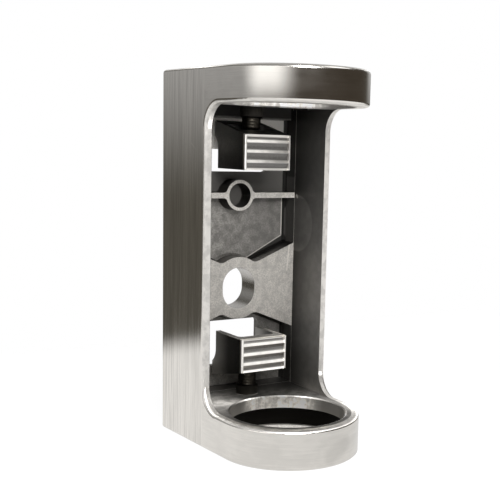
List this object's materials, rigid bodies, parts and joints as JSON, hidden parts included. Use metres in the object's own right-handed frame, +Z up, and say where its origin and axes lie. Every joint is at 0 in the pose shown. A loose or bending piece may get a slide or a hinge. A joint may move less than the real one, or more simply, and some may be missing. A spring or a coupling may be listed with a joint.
{
  "type": "post wall bracket",
  "caption": "Cast bracket that holds a round post beside a wall: a ring above and below a C-shaped channel, with ridged clamp wedges and set screws.",
  "frame": {"origin": "middle of the wall bolt hole, on the wall plane", "axes": "+Z up along the post, +Y into the wall, so the rings reach out to -Y"},
  "size_m": [0.0644, 0.084, 0.156],
  "materials": {
    "cast_body": "cast stainless steel, brushed outside and matt inside",
    "clamp_wedge": "matt cast stainless steel",
    "set_screw": "dark oxide steel"
  },
  "bodies": {
    "bracket": {"cast_body": "cast_body"},
    "upper_wedge": {"upper_clamp_wedge": "clamp_wedge"},
    "lower_wedge": {"lower_clamp_wedge": "clamp_wedge"},
    "upper_screw": {"upper_set_screw": "set_screw"},
    "lower_screw": {"lower_set_screw": "set_screw"}
  },
  "joints": [
    {"name": "upper_wedge_slide", "type": "slide", "parent": "bracket", "child": "upper_wedge", "axis": [0, 1, 0], "range_m": [0, 0.0049]},
    {"name": "lower_wedge_slide", "type": "slide", "parent": "bracket", "child": "lower_wedge", "axis": [0, 1, 0], "range_m": [0, 0.0049]},
    {"name": "upper_screw_travel", "type": "slide", "parent": "bracket", "child": "upper_screw", "axis": [0, 0, 1], "range_m": [0, 0.0035]},
    {"name": "lower_screw_travel", "type": "slide", "parent": "bracket", "child": "lower_screw", "axis": [0, 0, -1], "range_m": [0, 0.0035]}
  ]
}
